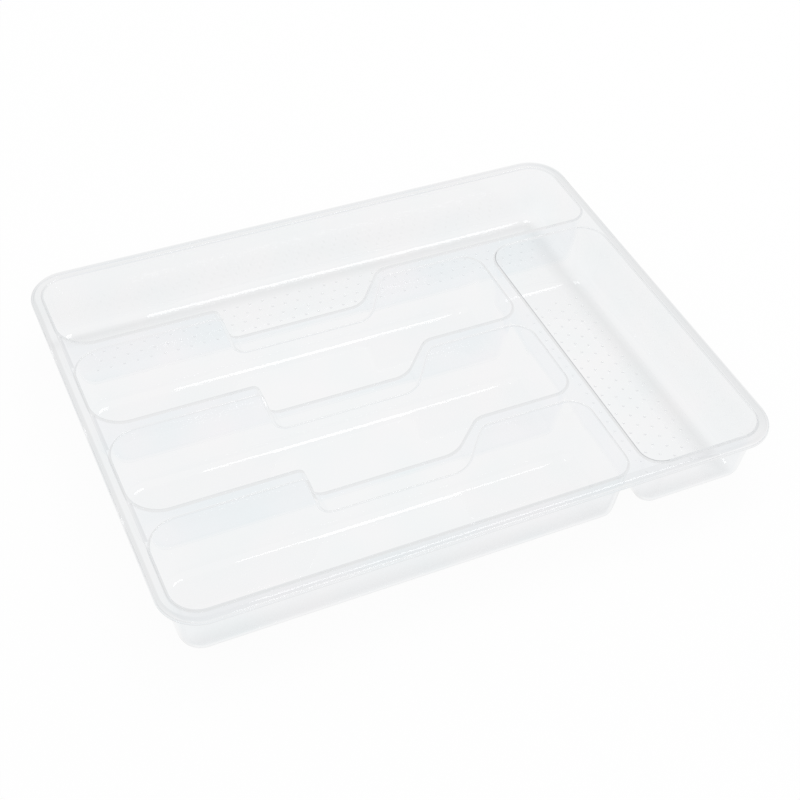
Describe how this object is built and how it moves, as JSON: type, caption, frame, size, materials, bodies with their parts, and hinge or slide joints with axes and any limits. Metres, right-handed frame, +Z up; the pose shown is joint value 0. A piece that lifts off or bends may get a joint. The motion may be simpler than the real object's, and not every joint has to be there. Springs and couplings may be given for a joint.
{
  "type": "cutlery tray",
  "caption": "Clear plastic cutlery tray: long rows with finger dips in their dividers, a full-length back compartment and a side compartment, under a flat rim.",
  "frame": {"origin": "on the table, under the middle of the tray", "axes": "+X along the long side with the side compartment on the +X side, +Y to the full-length back compartment, +Z up"},
  "size_m": [0.39, 0.305, 0.045],
  "materials": {
    "clear_plastic": "clear, polished, glossy"
  },
  "bodies": {
    "root": {"rim": "clear_plastic", "back_compartment": "clear_plastic", "row_compartment_1": "clear_plastic", "row_compartment_2": "clear_plastic", "row_compartment_3": "clear_plastic", "side_compartment": "clear_plastic", "back_divider": "clear_plastic", "row_divider_1": "clear_plastic", "row_divider_2": "clear_plastic", "side_divider": "clear_plastic"}
  },
  "joints": []
}
